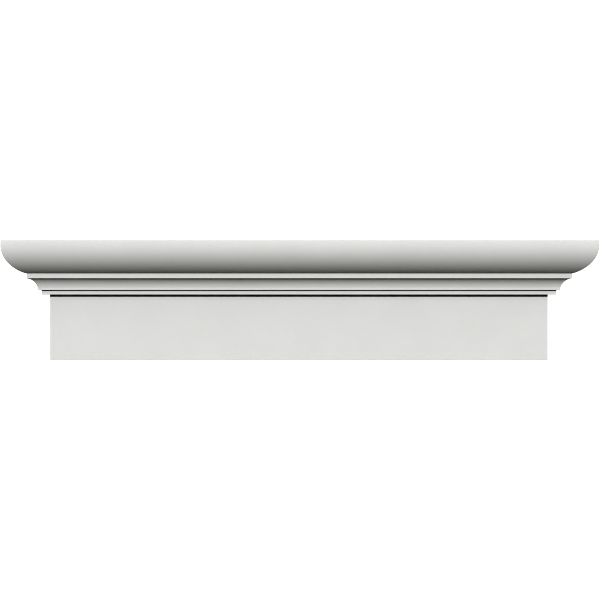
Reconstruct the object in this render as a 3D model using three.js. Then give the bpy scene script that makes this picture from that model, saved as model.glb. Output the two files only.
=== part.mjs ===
// An over door cornice, moulded in one piece: a crown with a return at each end, above a flat frieze board.
// Millimetres, +X along the width to the viewer's right, +Z up. The front faces -Y and the flat back, which
// goes against the wall, lies in the plane y = 0. The origin is the middle of the back.

import * as THREE from "three";
import { toCreasedNormals } from "three/addons/utils/BufferGeometryUtils.js";

// Frieze board
const friezeWidth = 951;
const friezeHeight = 125;
const boardThickness = 19.5;

// Heights of the crown's members, from the bottom up
const lowerFilletHeight = 8.5;
const coveFilletHeight = 4.4;
const coveHeight = 18.1;
const upperFilletHeight = 9.6;
const ovoloHeight = 55.2;
const ovoloShoulderHeight = 7.8;

// How far the crown's members stand out from the face of the frieze board, in front and at both ends
const lowerFilletProjection = 15.9;
const coveFilletProjection = 23.3;
const upperFilletProjection = 44.7;
const ovoloProjection = 94.8;

// How far the foot of the ovolo stands out from the fillet under it
const ovoloFootOverhang = 1.5;

// The cove is part of a circle. The ovolo is part of an ellipse: it runs from a foot just above the ellipse's
// lowest point, through its widest point, up a short shoulder to the top face.
const coveRadius = 24.1;
const ovoloEllipseLeftOut = 3.5;

// Softened edges: along the members, and up the two front corners where the returns meet the front
const arrisRadius = 0.4;
const cornerRadius = 1;

// Fineness of the curves
const arrisSteps = 3;
const cornerSteps = 4;
const coveSteps = 16;
const ovoloSteps = 28;
const shoulderSteps = 4;

// Two faces that meet at more than this angle show an edge, and the others run on into each other
const edgeAngle = THREE.MathUtils.degToRad(32);

const primedWhite = 0xe2e2de;

// Levels, from the underside of the frieze board up to the top face
const crownHeight =
  lowerFilletHeight + coveFilletHeight + coveHeight + upperFilletHeight + ovoloHeight + ovoloShoulderHeight;
const totalHeight = friezeHeight + crownHeight;
const bottomLevel = -totalHeight / 2;
const lowerFilletLevel = bottomLevel + friezeHeight;
const coveFilletLevel = lowerFilletLevel + lowerFilletHeight;
const coveLevel = coveFilletLevel + coveFilletHeight;
const upperFilletLevel = coveLevel + coveHeight;
const ovoloLevel = upperFilletLevel + upperFilletHeight;
const widestLevel = ovoloLevel + ovoloHeight;
const topLevel = widestLevel + ovoloShoulderHeight;

// A profile is a list of points, with x the projection from the face of the frieze board and y the level.

// The arc of the given radius from one point to another, hollow towards the side that stands out.
function hollowArc(start, end, radius, steps) {
  const chord = end.clone().sub(start);
  const middle = start.clone().add(end).multiplyScalar(0.5);
  const rise = Math.sqrt(radius * radius - chord.lengthSq() / 4);
  const outward = new THREE.Vector2(chord.y, -chord.x).normalize();
  const centre = middle.addScaledVector(outward, rise);
  const startAngle = start.clone().sub(centre).angle();
  const endAngle = end.clone().sub(centre).angle();
  const curve = new THREE.EllipseCurve(centre.x, centre.y, radius, radius, startAngle, endAngle, true);
  return curve.getPoints(steps);
}

// The part of an upright ellipse from a foot near its lowest point, through its widest point, up to a level.
function ovoloArc(foot, widest, leftOut, upperLevel) {
  const halfHeight = widest.y - foot.y + leftOut;
  const footAngle = Math.asin((widest.y - foot.y) / halfHeight);
  const headAngle = Math.asin((upperLevel - widest.y) / halfHeight);
  const halfDepth = (widest.x - foot.x) / (1 - Math.cos(footAngle));
  const arc = (from, to, steps) =>
    new THREE.EllipseCurve(widest.x - halfDepth, widest.y, halfDepth, halfHeight, from, to).getPoints(steps);
  return [...arc(-footAngle, 0, ovoloSteps), ...arc(0, headAngle, shoulderSteps).slice(1)];
}

// The corner of a polygon, rounded off: the points of an arc that touches both of its sides.
function roundedCorner(before, corner, after, radius, steps) {
  const toBefore = before.clone().sub(corner).normalize();
  const toAfter = after.clone().sub(corner).normalize();
  const halfAngle = Math.acos(THREE.MathUtils.clamp(toBefore.dot(toAfter), -1, 1)) / 2;
  const setback = radius / Math.tan(halfAngle);
  const first = corner.clone().addScaledVector(toBefore, setback);
  const last = corner.clone().addScaledVector(toAfter, setback);
  const bisector = toBefore.add(toAfter).normalize();
  const centre = corner.clone().addScaledVector(bisector, radius / Math.sin(halfAngle));
  const points = [];
  for (let i = 0; i <= steps; i++) {
    const along = i / steps;
    const onChord = first.clone().lerp(last, along);
    const outward = onChord.sub(centre).normalize();
    points.push(centre.clone().addScaledVector(outward, radius));
  }
  return points;
}

// The front profile, from the bottom edge to the top edge. Its outer edges are softened, and its inner ones
// and the foot of the ovolo are left sharp.
function crownProfile() {
  const at = (projection, level) => new THREE.Vector2(projection, level);
  const sharp = (point) => ({ point, radius: 0 });
  const soft = (point) => ({ point, radius: arrisRadius });
  const cove = hollowArc(
    at(coveFilletProjection, coveLevel),
    at(upperFilletProjection, upperFilletLevel),
    coveRadius,
    coveSteps,
  );
  const ovolo = ovoloArc(
    at(upperFilletProjection + ovoloFootOverhang, ovoloLevel),
    at(ovoloProjection, widestLevel),
    ovoloEllipseLeftOut,
    topLevel,
  );
  const corners = [
    soft(at(0, bottomLevel)),
    sharp(at(0, lowerFilletLevel)),
    soft(at(lowerFilletProjection, lowerFilletLevel)),
    sharp(at(lowerFilletProjection, coveFilletLevel)),
    soft(at(coveFilletProjection, coveFilletLevel)),
    ...cove.slice(0, -1).map(sharp),
    soft(cove.at(-1)),
    sharp(at(upperFilletProjection, ovoloLevel)),
    ...ovolo.slice(0, -1).map(sharp),
    soft(ovolo.at(-1)),
  ];
  const underside = at(-boardThickness, bottomLevel);
  const topFace = at(-boardThickness, topLevel);
  return corners.flatMap(({ point, radius }, i) => {
    if (radius === 0) return [point];
    const before = corners[i - 1]?.point ?? underside;
    const after = corners[i + 1]?.point ?? topFace;
    return roundedCorner(before, point, after, radius, arrisSteps);
  });
}

// The horizontal section at one point of the profile: a rectangle with its front corners rounded.
function sectionAt({ x: projection, y: level }) {
  const side = friezeWidth / 2 + projection;
  const front = boardThickness + projection;
  const outline = [new THREE.Vector3(-side, 0, level)];
  for (const end of [-1, 1]) {
    for (let i = 0; i <= cornerSteps; i++) {
      const turn = (Math.PI / 2) * (end < 0 ? i : cornerSteps - i) / cornerSteps;
      const x = side - cornerRadius + cornerRadius * Math.cos(turn);
      const y = front - cornerRadius + cornerRadius * Math.sin(turn);
      outline.push(new THREE.Vector3(end * x, -y, level));
    }
  }
  outline.push(new THREE.Vector3(side, 0, level));
  return outline;
}

// The triangles of a flat face inside an outline. seenTurning is 1 where someone outside the solid sees the
// outline's first axis turn to its second one counterclockwise, and -1 where they see the reverse.
function flatFace(outline, seenTurning) {
  const triangles = THREE.ShapeUtils.triangulateShape(outline, []);
  return triangles.map((triangle) => {
    const turning = THREE.ShapeUtils.area(triangle.map((i) => outline[i]));
    return turning * seenTurning > 0 ? triangle : triangle.toReversed();
  });
}

// The closed skin of a stack of sections, from the bottom one up. Each section starts and ends on the back.
function stackedGeometry(sections) {
  const count = sections[0].length;
  const points = sections.flat();
  const first = (section) => section * count;
  const last = (section) => section * count + count - 1;
  const index = [];
  const addFace = (corners, outlineOf, seenTurning) => {
    for (const triangle of flatFace(corners.map((i) => outlineOf(points[i])), seenTurning)) {
      index.push(...triangle.map((i) => corners[i]));
    }
  };

  for (let s = 0; s + 1 < sections.length; s++) {
    for (let i = 0; i + 1 < count; i++) {
      const low = first(s) + i;
      const high = first(s + 1) + i;
      index.push(low, low + 1, high + 1);
      index.push(low, high + 1, high);
    }
  }

  const levels = sections.map((_, s) => s);
  const aroundBack = [...levels.map(last), ...levels.map(first).reverse()];
  const aroundEnd = (section) => Array.from({ length: count }, (_, i) => first(section) + i);
  addFace(aroundBack, ({ x, z }) => new THREE.Vector2(x, z), -1);
  addFace(aroundEnd(0), ({ x, y }) => new THREE.Vector2(x, y), -1);
  addFace(aroundEnd(sections.length - 1), ({ x, y }) => new THREE.Vector2(x, y), 1);

  const geometry = new THREE.BufferGeometry();
  geometry.setFromPoints(points);
  geometry.setIndex(index);
  return toCreasedNormals(geometry, edgeAngle);
}

function makeCornice() {
  const geometry = stackedGeometry(crownProfile().map(sectionAt));
  const material = new THREE.MeshStandardMaterial({
    color: primedWhite,
    roughness: 0.6,
    metalness: 0,
  });
  const cornice = new THREE.Mesh(geometry, material);
  cornice.name = "cornice";
  return cornice;
}

const group = new THREE.Group();
group.add(makeCornice());

export default group;
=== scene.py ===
import math

import bpy
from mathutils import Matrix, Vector
from mathutils.geometry import delaunay_2d_cdt


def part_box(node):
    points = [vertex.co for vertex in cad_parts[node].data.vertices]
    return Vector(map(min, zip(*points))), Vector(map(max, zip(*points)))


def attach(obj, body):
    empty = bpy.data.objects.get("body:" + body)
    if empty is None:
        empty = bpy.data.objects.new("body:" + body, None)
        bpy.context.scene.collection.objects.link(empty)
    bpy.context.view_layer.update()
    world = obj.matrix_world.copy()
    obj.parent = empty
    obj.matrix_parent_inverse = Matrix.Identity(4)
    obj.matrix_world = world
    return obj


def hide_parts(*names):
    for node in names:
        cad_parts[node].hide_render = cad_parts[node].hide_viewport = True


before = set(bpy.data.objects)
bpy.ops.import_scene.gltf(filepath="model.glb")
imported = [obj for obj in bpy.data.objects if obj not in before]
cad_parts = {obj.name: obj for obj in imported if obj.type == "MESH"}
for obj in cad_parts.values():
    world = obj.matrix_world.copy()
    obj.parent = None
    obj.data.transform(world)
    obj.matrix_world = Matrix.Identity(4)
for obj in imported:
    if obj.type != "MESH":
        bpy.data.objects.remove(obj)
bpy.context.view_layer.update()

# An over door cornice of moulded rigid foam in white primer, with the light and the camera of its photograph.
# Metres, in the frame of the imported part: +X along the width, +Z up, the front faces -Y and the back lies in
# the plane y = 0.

low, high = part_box("cornice")

MM = 0.001

# Heights of the members, from the underside of the frieze board up to the widest point of the ovolo
FRIEZE_HEIGHT = 125 * MM
LOWER_FILLET_HEIGHT = 8.5 * MM
COVE_FILLET_HEIGHT = 4.4 * MM
COVE_HEIGHT = 18.1 * MM
UPPER_FILLET_HEIGHT = 9.6 * MM
OVOLO_HEIGHT = 55.2 * MM

# How far the members stand out from the face of the frieze board, in front and at both ends
LOWER_FILLET_PROJECTION = 15.9 * MM
COVE_FILLET_PROJECTION = 23.3 * MM
UPPER_FILLET_PROJECTION = 44.7 * MM
OVOLO_PROJECTION = 94.8 * MM
OVOLO_FOOT_OVERHANG = 1.5 * MM

# The cove is part of a circle, and the ovolo part of an upright ellipse cut off just above its lowest point
COVE_RADIUS = 24.1 * MM
OVOLO_ELLIPSE_LEFT_OUT = 3.5 * MM

# Outer edges, inner corners and the front corners of the returns are all a little round
ARRIS_RADIUS = 0.4 * MM
INNER_RADIUS = 0.3 * MM
CORNER_RADIUS = 1 * MM

# Fineness of the mesh
ARRIS_STEPS = 6
INNER_STEPS = 4
CORNER_STEPS = 8
COVE_STEPS = 48
OVOLO_STEPS = 96
SHOULDER_STEPS = 10
FRONT_STEPS = 32
SIDE_STEPS = 4
EDGE_ANGLE = math.radians(40)

# The bare back has points this far apart, and each knows how near it is to the edge, up to this reach
BACK_SPACING = 8 * MM
EDGE_REACH = 40 * MM

# Points nearer to each other than this are the same
SAME_POINT = 1e-7

# The way to fill an outline that keeps only the triangles inside it
INSIDE_OUTLINE = 1

# Places of the two materials in the list of the cornice
PRIMED = 0
BARE = 1

# Levels and depths that follow from the frame
LOWER_FILLET_LEVEL = low.z + FRIEZE_HEIGHT
COVE_FILLET_LEVEL = LOWER_FILLET_LEVEL + LOWER_FILLET_HEIGHT
COVE_LEVEL = COVE_FILLET_LEVEL + COVE_FILLET_HEIGHT
UPPER_FILLET_LEVEL = COVE_LEVEL + COVE_HEIGHT
OVOLO_LEVEL = UPPER_FILLET_LEVEL + UPPER_FILLET_HEIGHT
WIDEST_LEVEL = OVOLO_LEVEL + OVOLO_HEIGHT
FRIEZE_HALF_WIDTH = high.x - OVOLO_PROJECTION
BOARD_THICKNESS = -low.y - OVOLO_PROJECTION

# The view of the photograph, which is square, measured at the back of the cornice
CAMERA_DISTANCE = 24
CAMERA_AZIMUTH = math.radians(-1.294)
CAMERA_AIM = Vector((2.457 * MM, 0, 0.3 * MM))
VIEW_WIDTH = 1147.2 * MM

# The floor lies where it would be under a cornice above a door
FLOOR_LEVEL = -2.15
FLOOR_SIZE = 80
FLOOR_COLOUR = (0.95, 0.955, 0.985, 1)
FLOOR_ROUGHNESS = 0.9


# Profile: points (projection, level) from the bottom edge to the top edge

def hollow_arc(start, end, radius, steps):
    """The arc of the given radius from start to end, hollow towards the side that stands out."""
    chord = end - start
    outward = Vector((chord.y, -chord.x)).normalized()
    centre = (start + end) / 2 + outward * math.sqrt(radius**2 - chord.length_squared / 4)
    first = start - centre
    last = end - centre
    turn = first.angle_signed(last)
    arc = []
    for i in range(steps + 1):
        angle = math.atan2(first.y, first.x) - turn * i / steps
        arc.append(centre + radius * Vector((math.cos(angle), math.sin(angle))))
    return arc


def ovolo_arc(foot, widest, left_out, upper_level):
    """The part of an upright ellipse from a foot near its lowest point, through its widest, up to a level."""
    half_height = widest.y - foot.y + left_out
    foot_angle = math.asin((widest.y - foot.y) / half_height)
    head_angle = math.asin((upper_level - widest.y) / half_height)
    half_depth = (widest.x - foot.x) / (1 - math.cos(foot_angle))
    angles = [foot_angle * (i / OVOLO_STEPS - 1) for i in range(OVOLO_STEPS)]
    angles += [head_angle * i / SHOULDER_STEPS for i in range(SHOULDER_STEPS + 1)]
    offsets = [Vector((half_depth * (math.cos(a) - 1), half_height * math.sin(a))) for a in angles]
    return [widest + offset for offset in offsets]


def rounded_corner(before, corner, after, radius, steps):
    """The points of an arc that touches both sides of a corner."""
    to_before = (before - corner).normalized()
    to_after = (after - corner).normalized()
    half_angle = to_before.angle(to_after) / 2
    setback = radius / math.tan(half_angle)
    first = corner + to_before * setback
    last = corner + to_after * setback
    centre = corner + (to_before + to_after).normalized() * radius / math.sin(half_angle)
    directions = [(first.lerp(last, i / steps) - centre).normalized() for i in range(steps + 1)]
    return [centre + direction * radius for direction in directions]


def crown_profile():
    def at(projection, level):
        return Vector((projection, level))

    cove = hollow_arc(
        at(COVE_FILLET_PROJECTION, COVE_LEVEL),
        at(UPPER_FILLET_PROJECTION, UPPER_FILLET_LEVEL),
        COVE_RADIUS,
        COVE_STEPS,
    )
    ovolo = ovolo_arc(
        at(UPPER_FILLET_PROJECTION + OVOLO_FOOT_OVERHANG, OVOLO_LEVEL),
        at(OVOLO_PROJECTION, WIDEST_LEVEL),
        OVOLO_ELLIPSE_LEFT_OUT,
        high.z,
    )
    outer = (ARRIS_RADIUS, ARRIS_STEPS)
    inner = (INNER_RADIUS, INNER_STEPS)
    corners = [
        (at(0, low.z), outer),
        (at(0, LOWER_FILLET_LEVEL), inner),
        (at(LOWER_FILLET_PROJECTION, LOWER_FILLET_LEVEL), outer),
        (at(LOWER_FILLET_PROJECTION, COVE_FILLET_LEVEL), inner),
        (at(COVE_FILLET_PROJECTION, COVE_FILLET_LEVEL), outer),
        *[(point, None) for point in cove[:-1]],
        (cove[-1], outer),
        (at(UPPER_FILLET_PROJECTION, OVOLO_LEVEL), inner),
        *[(point, None) for point in ovolo[:-1]],
        (ovolo[-1], outer),
    ]
    underside = at(-BOARD_THICKNESS, low.z)
    top_face = at(-BOARD_THICKNESS, high.z)
    points = [underside, *[point for point, _ in corners], top_face]
    profile = []
    for i, (point, rounding) in enumerate(corners):
        if rounding:
            profile += rounded_corner(points[i], point, points[i + 2], *rounding)
        else:
            profile.append(point)
    return profile


# Mesh

def section(projection, level):
    """The horizontal section at one point of the profile, from the back on the left round to the back."""
    side = FRIEZE_HALF_WIDTH + projection
    front = BOARD_THICKNESS + projection
    right = []
    for i in range(SIDE_STEPS):
        right.append((side, (CORNER_RADIUS - front) * i / SIDE_STEPS))
    for i in range(CORNER_STEPS + 1):
        turn = math.pi / 2 * i / CORNER_STEPS
        x = side - CORNER_RADIUS + CORNER_RADIUS * math.cos(turn)
        y = CORNER_RADIUS - front - CORNER_RADIUS * math.sin(turn)
        right.append((x, y))
    straight = side - CORNER_RADIUS
    middle = [(straight * (2 * i / FRONT_STEPS - 1), -front) for i in range(1, FRONT_STEPS)]
    left = [(-x, y) for x, y in right]
    outline = left + middle + right[::-1]
    return [(x, y, level) for x, y in outline]


def distance_to_outline(point, outline):
    """The distance of a point in the plane from a closed outline."""
    nearest = math.inf
    for a, b in zip(outline, outline[1:] + outline[:1]):
        side = b - a
        share = (point - a).dot(side) / max(side.length_squared, SAME_POINT**2)
        foot = a + side * min(1, max(0, share))
        nearest = min(nearest, (point - foot).length)
    return nearest


def half_width_at(profile, level):
    """Half the width of the back at a level."""
    for a, b in zip(profile, profile[1:]):
        if a.y <= level <= b.y and b.y > a.y:
            return FRIEZE_HALF_WIDTH + a.x + (b.x - a.x) * (level - a.y) / (b.y - a.y)
    return FRIEZE_HALF_WIDTH


def back_points(profile, outline):
    """Points spread over the back, clear of its outline, in rows half a step out of line, and how near each
    one is to the outline: 1 on it, and 0 out of its reach."""
    points = []
    nearness = []
    rows = round((high.z - low.z) / BACK_SPACING)
    for row in range(1, rows):
        level = low.z + (high.z - low.z) * row / rows
        reach = half_width_at(profile, level)
        columns = round(2 * reach / BACK_SPACING)
        for column in range(1, columns):
            x = reach * (2 * (column + row % 2 / 2) / columns - 1)
            point = Vector((x, level))
            distance = distance_to_outline(point, outline)
            if distance > BACK_SPACING / 2:
                points.append(point)
                nearness.append(max(0, 1 - distance / EDGE_REACH))
    return points, nearness


def skin_faces(rows, count):
    """The faces between rows of points that lie one above another, and those of the underside and the top."""
    faces = []
    for row in range(rows - 1):
        for i in range(count - 1):
            corner = row * count + i
            faces.append((corner, corner + 1, corner + 1 + count, corner + count))
    faces.append(tuple(reversed(range(count))))
    faces.append(tuple(range((rows - 1) * count, rows * count)))
    return faces


def back_faces(outline, inside, numbers):
    """The triangles of the back: its outline, the points inside it, and the numbers of them all."""
    filled = delaunay_2d_cdt(outline + inside, [], [list(range(len(outline)))], INSIDE_OUTLINE, SAME_POINT)
    _, _, triangles, sources = filled[:4]
    faces = []
    for triangle in triangles:
        a, b, c = [numbers[sources[i][0]] for i in triangle]
        faces.append((a, c, b))
    return faces


def make_cornice():
    profile = crown_profile()
    sections = [section(*point) for point in profile]
    rows = len(sections)
    count = len(sections[0])
    vertices = [vertex for points in sections for vertex in points]
    skin = skin_faces(rows, count)

    around = [row * count + count - 1 for row in range(rows)] + [row * count for row in reversed(range(rows))]
    outline = [Vector((vertices[i][0], vertices[i][2])) for i in around]
    inside, nearness = back_points(profile, outline)
    numbers = around + list(range(rows * count, rows * count + len(inside)))
    vertices += [(point.x, high.y, point.y) for point in inside]

    mesh = bpy.data.meshes.new("moulded_cornice")
    mesh.from_pydata(vertices, [], skin + back_faces(outline, inside, numbers))
    for polygon in mesh.polygons:
        polygon.material_index = PRIMED if polygon.index < len(skin) else BARE
        polygon.use_smooth = True
    edge = mesh.attributes.new("edge", "FLOAT", "POINT")
    edge.data.foreach_set("value", [1] * rows * count + nearness)
    mesh.set_sharp_from_angle(angle=EDGE_ANGLE)
    piece = bpy.data.objects.new("moulded_cornice", mesh)
    bpy.context.scene.collection.objects.link(piece)
    normals = piece.modifiers.new("even_normals", "WEIGHTED_NORMAL")
    normals.keep_sharp = True
    return piece


# Materials

# Most of the values of a noise lie between these two
NOISE_LOW = 0.3
NOISE_HIGH = 0.7

PRIMER_LIGHT = (0.767, 0.767, 0.767)
PRIMER_DARK = (0.737, 0.737, 0.737)
PRIMER_ROUGHNESS = (0.62, 0.70)

# Patterns of the primer: how wide their patches are, how many times they get finer, and how much of each
# finer pattern there is
PRIMER_CLOUDS = (90 * MM, 5, 0.6)
PRIMER_SPECKLE = (1.3 * MM, 1, 0.5)
PRIMER_SHEEN = (14 * MM, 3, 0.5)

# Relief of the primer: how wide the unevenness is, and how deep
WAVE = (70 * MM, 0.10 * MM)
ORANGE_PEEL = (1.8 * MM, 0.07 * MM)
GRAIN = (0.6 * MM, 0.03 * MM)

FOAM_LIGHT = (0.83, 0.815, 0.76)
FOAM_DARK = (0.765, 0.74, 0.665)
FOAM_ROUGHNESS = 0.88
FOAM_CLOUDS = (60 * MM, 6, 0.65)

# Relief of the bare foam: how wide the unevenness is, or how far apart the pores and holes lie, and how deep
FOAM_WAVE = (25 * MM, 0.4 * MM)
SANDING_MARKS = (1.6 * MM, 0.05 * MM)
SANDING_DETAIL = 3
SANDING_LENGTH = 60
PORES = (1.6 * MM, 0.10 * MM)
HOLES = (34 * MM, 0.8 * MM)

# Painted shade at the bottom of the pores and holes
PORE_SHADE_COLOUR = (0.55, 0.51, 0.42)

# The share of a finer pattern in a coarser one
FINE_SHARE = 0.3

# How far a pore and a hole go, in steps of their distance apart: from the open middle to the edge
PORE_OPENING = (0.05, 0.3)
HOLE_OPENING = (0.035, 0.05)

# The border of the overspray: how wide its patches are, how many times they get finer, and how far they move
# it to and fro, as a share of the reach of the edge. Then where it ends.
OVERSPRAY_DRIFT = (30 * MM, 3, 0.17)
OVERSPRAY_SPECKS = (2 * MM, 2, 0.09)
OVERSPRAY_END = (0.70, 0.86)


class Nodes:
    """The nodes of a material or world, with short ways to add and join them."""

    def __init__(self, owner):
        owner.use_nodes = True
        self.tree = owner.node_tree

    def add(self, kind, **settings):
        node = self.tree.nodes.new(kind)
        for name, value in settings.items():
            setattr(node, name, value)
        return node

    def join(self, source, target):
        self.tree.links.new(source, target)

    def place(self, length=1):
        """The place on the piece, along which a pattern gets longer by the given number of times."""
        node = self.add("ShaderNodeMapping")
        node.inputs["Scale"].default_value = (1 / length, 1, 1)
        self.join(self.add("ShaderNodeTexCoord").outputs["Object"], node.inputs["Vector"])
        return node.outputs["Vector"]

    def noise(self, size, detail=2, roughness=0.5, length=1):
        """Noise from 0 to 1 whose patches are about size across."""
        node = self.add("ShaderNodeTexNoise")
        node.inputs["Scale"].default_value = 1 / size
        node.inputs["Detail"].default_value = detail
        node.inputs["Roughness"].default_value = roughness
        self.join(self.place(length), node.inputs["Vector"])
        return node.outputs["Fac"]

    def cells(self, size):
        """The distance to the nearest of many points that lie about size apart, in steps of that size."""
        node = self.add("ShaderNodeTexVoronoi")
        node.inputs["Scale"].default_value = 1 / size
        self.join(self.place(), node.inputs["Vector"])
        return node.outputs["Distance"]

    def spread(self, value, least, most, start=NOISE_LOW, end=NOISE_HIGH):
        """A value from start to end, as one from least to most."""
        node = self.add("ShaderNodeMapRange")
        for name, number in (("From Min", start), ("From Max", end), ("To Min", least), ("To Max", most)):
            node.inputs[name].default_value = number
        self.join(value, node.inputs["Value"])
        return node.outputs["Result"]

    def calculate(self, operation, first, second):
        node = self.add("ShaderNodeMath", operation=operation)
        for socket, value in zip(node.inputs, (first, second)):
            if isinstance(value, bpy.types.NodeSocket):
                self.join(value, socket)
            else:
                socket.default_value = value
        return node.outputs["Value"]

    def blend(self, coarse, fine):
        """A coarse pattern with a share of a finer one."""
        kept = self.calculate("MULTIPLY", coarse, 1 - FINE_SHARE)
        return self.calculate("ADD", kept, self.calculate("MULTIPLY", fine, FINE_SHARE))

    def mix(self, share, first, second):
        """A colour between two others, which are colours or sockets."""
        node = self.add("ShaderNodeMix", data_type="RGBA")
        self.join(share, node.inputs["Factor"])
        for name, colour in (("A", first), ("B", second)):
            socket = next(s for s in node.inputs if s.name == name and s.type == "RGBA")
            if isinstance(colour, bpy.types.NodeSocket):
                self.join(colour, socket)
            else:
                socket.default_value = (*colour, 1)
        return next(s for s in node.outputs if s.type == "RGBA")

    def bump(self, height, depth, under=None):
        """The surface's normal with a height from 0 to 1 worked into it, depth deep."""
        node = self.add("ShaderNodeBump")
        node.inputs["Strength"].default_value = 1
        node.inputs["Distance"].default_value = depth
        self.join(height, node.inputs["Height"])
        if under:
            self.join(under, node.inputs["Normal"])
        return node.outputs["Normal"]

    def relief(self, size, depth, under=None):
        return self.bump(self.noise(size), depth, under)


def primer_colour(nodes):
    """White primer with broad faint clouds and a fine speckle."""
    clouds = nodes.noise(*PRIMER_CLOUDS)
    speckle = nodes.noise(*PRIMER_SPECKLE)
    return nodes.mix(nodes.spread(nodes.blend(clouds, speckle), 0, 1), PRIMER_DARK, PRIMER_LIGHT)


def primer():
    """Sprayed white primer, with orange peel and a fine grain over a faint unevenness of the moulding."""
    material = bpy.data.materials.new("white_primer")
    nodes = Nodes(material)
    shader = nodes.tree.nodes["Principled BSDF"]
    nodes.join(primer_colour(nodes), shader.inputs["Base Color"])
    sheen = nodes.spread(nodes.noise(*PRIMER_SHEEN), *PRIMER_ROUGHNESS)
    nodes.join(sheen, shader.inputs["Roughness"])
    peel = nodes.relief(*ORANGE_PEEL, nodes.relief(*WAVE))
    nodes.join(nodes.relief(*GRAIN, peel), shader.inputs["Normal"])
    return material


def overspray(nodes):
    """1 where the primer has been sprayed round the edges onto the back, with a ragged, speckled border."""
    edge = nodes.add("ShaderNodeAttribute", attribute_name="edge").outputs["Fac"]
    for size, detail, reach in (OVERSPRAY_DRIFT, OVERSPRAY_SPECKS):
        drift = nodes.spread(nodes.noise(size, detail), -reach, reach)
        edge = nodes.calculate("ADD", edge, drift)
    return nodes.spread(edge, 0, 1, *OVERSPRAY_END)


def foam_back():
    """The bare back: rigid foam, sanded flat along its length, with fine pores and a few larger holes, which
    are darkened by painted shade.
    """
    material = bpy.data.materials.new("foam_back")
    nodes = Nodes(material)
    shader = nodes.tree.nodes["Principled BSDF"]
    coat = overspray(nodes)
    clouds = nodes.noise(*FOAM_CLOUDS)
    mark_width, mark_depth = SANDING_MARKS
    marks = nodes.noise(mark_width, SANDING_DETAIL, length=SANDING_LENGTH)
    foam = nodes.mix(nodes.spread(nodes.blend(clouds, marks), 0, 1), FOAM_DARK, FOAM_LIGHT)
    pore_distance, pore_depth = PORES
    hole_distance, hole_depth = HOLES
    pores = nodes.spread(nodes.cells(pore_distance), 0, 1, *PORE_OPENING)
    holes = nodes.spread(nodes.cells(hole_distance), 0, 1, *HOLE_OPENING)
    # Painted shade: the pores and holes darken towards their bottoms, mixed into the bare foam
    bare = nodes.mix(nodes.calculate("MULTIPLY", pores, holes), PORE_SHADE_COLOUR, foam)
    nodes.join(nodes.mix(coat, bare, primer_colour(nodes)), shader.inputs["Base Color"])
    roughness = nodes.spread(coat, FOAM_ROUGHNESS, PRIMER_ROUGHNESS[0], 0, 1)
    nodes.join(roughness, shader.inputs["Roughness"])
    sanded = nodes.bump(marks, mark_depth, nodes.relief(*FOAM_WAVE))
    porous = nodes.bump(pores, pore_depth, sanded)
    nodes.join(nodes.bump(holes, hole_depth, porous), shader.inputs["Normal"])
    return material


# Studio

# How high the lights stand, how strong they are, and how wide the key light and the soft light look
KEY_ELEVATION = math.radians(15.2)
KEY_ANGLE = math.radians(1.5)
KEY_STRENGTH = 2.89
SOFT_ELEVATION = math.radians(42)
SOFT_ANGLE = math.radians(75)
SOFT_STRENGTH = 0.76
TOP_STRENGTH = 0.3
UNDER_STRENGTH = 0.08
SIDE_STRENGTH = 2.3
SIDE_AZIMUTH = math.radians(100)
SIDE_ELEVATION = math.radians(12)
BACK_STRENGTH = 2.2
AMBIENT = 0.05

# Each of the other lights looks this wide
SUN_ANGLE = math.radians(6)

# More than white, so that the backdrop stays pure white
BACKDROP = (1.15, 1.15, 1.15)

# The light from below and the even light are the warmest, as the shaded parts are in the photograph
KEY_COLOUR = (1, 1, 0.98)
SOFT_COLOUR = (1, 0.995, 1.03)
SIDE_COLOUR = (1, 0.994, 0.978)
UNDER_COLOUR = (1, 0.985, 0.68)
AMBIENT_COLOUR = (1, 0.995, 0.78)

# Contrast of the middle tones, and the width of the filter in pixels, as in the photograph
TONE_GAMMA = 0.7
PIXEL_FILTER = 1


def sun(name, azimuth, elevation, strength, angle=SUN_ANGLE, colour=SIDE_COLOUR, gloss=True):
    """A sun at an azimuth, which is 0 at the front and 90 degrees on the right, with or without gloss."""
    light = bpy.data.lights.new(name, "SUN")
    light.energy = strength
    light.angle = angle
    light.color = colour
    lamp = bpy.data.objects.new(name, light)
    across = math.cos(elevation)
    source = Vector((math.sin(azimuth) * across, -math.cos(azimuth) * across, math.sin(elevation)))
    lamp.rotation_euler = source.to_track_quat("Z", "Y").to_euler()
    lamp.visible_glossy = gloss
    bpy.context.scene.collection.objects.link(lamp)


def make_lights():
    quarter = math.radians(90)
    # Gloss from the key light would make the top face glare from behind, and gloss from the back light would
    # make the top edge sparkle from the front.
    sun("key_light", 0, KEY_ELEVATION, KEY_STRENGTH, angle=KEY_ANGLE, colour=KEY_COLOUR, gloss=False)
    sun("soft_light", 0, SOFT_ELEVATION, SOFT_STRENGTH, angle=SOFT_ANGLE, colour=SOFT_COLOUR)
    sun("top_light", 0, quarter, TOP_STRENGTH)
    sun("under_light", 0, -quarter, UNDER_STRENGTH, colour=UNDER_COLOUR)
    sun("left_light", -SIDE_AZIMUTH, SIDE_ELEVATION, SIDE_STRENGTH)
    sun("right_light", SIDE_AZIMUTH, SIDE_ELEVATION, SIDE_STRENGTH)
    sun("back_light", 2 * quarter, SIDE_ELEVATION, BACK_STRENGTH, gloss=False)


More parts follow.
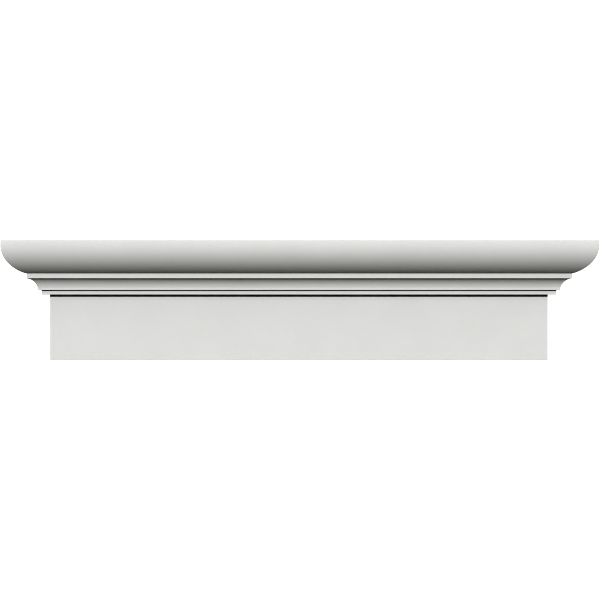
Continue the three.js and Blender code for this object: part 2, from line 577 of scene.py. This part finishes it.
def make_world():
    """A white backdrop, bright enough to stay pure white, and a much weaker even light on the object."""
    world = bpy.data.worlds.new("studio")
    nodes = Nodes(world)
    seen = nodes.add("ShaderNodeLightPath").outputs["Is Camera Ray"]
    even_light = [AMBIENT * share for share in AMBIENT_COLOUR]
    backdrop = nodes.tree.nodes["Background"]
    nodes.join(nodes.mix(seen, even_light, BACKDROP), backdrop.inputs["Color"])
    bpy.context.scene.world = world


def make_floor():
    """A pale floor that casts no shadow and isn't seen from below, so that light reaches the undersides."""
    half = FLOOR_SIZE / 2
    corners = [(-half, -half), (half, -half), (half, half), (-half, half)]
    mesh = bpy.data.meshes.new("floor")
    mesh.from_pydata([(x, y, FLOOR_LEVEL) for x, y in corners], [], [(0, 1, 2, 3)])
    floor = bpy.data.objects.new("floor", mesh)
    bpy.context.scene.collection.objects.link(floor)
    floor.visible_shadow = False
    material = bpy.data.materials.new("pale_floor")
    nodes = Nodes(material)
    shader = nodes.tree.nodes["Principled BSDF"]
    shader.inputs["Base Color"].default_value = FLOOR_COLOUR
    shader.inputs["Roughness"].default_value = FLOOR_ROUGHNESS
    seen_from_below = nodes.add("ShaderNodeNewGeometry").outputs["Backfacing"]
    nodes.join(nodes.calculate("SUBTRACT", 1, seen_from_below), shader.inputs["Alpha"])
    mesh.materials.append(material)


def make_camera():
    data = bpy.data.cameras.new("camera")
    data.lens = data.sensor_width * CAMERA_DISTANCE / VIEW_WIDTH
    data.clip_end = 2 * CAMERA_DISTANCE
    camera = bpy.data.objects.new("camera", data)
    look = Vector((-math.sin(CAMERA_AZIMUTH), math.cos(CAMERA_AZIMUTH), 0))
    camera.location = CAMERA_AIM - look * CAMERA_DISTANCE
    camera.rotation_euler = look.to_track_quat("-Z", "Y").to_euler()
    bpy.context.scene.collection.objects.link(camera)
    bpy.context.scene.camera = camera


def set_tone():
    """Plain display colours with more contrast in the middle tones, and light that isn't passed on."""
    scene = bpy.context.scene
    scene.view_settings.view_transform = "Standard"
    scene.view_settings.gamma = TONE_GAMMA
    scene.cycles.diffuse_bounces = 0
    scene.cycles.filter_width = PIXEL_FILTER


cornice = make_cornice()
cornice.data.materials.append(primer())
cornice.data.materials.append(foam_back())
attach(cornice, "root")
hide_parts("cornice")

make_lights()
make_world()
make_floor()
make_camera()
set_tone()
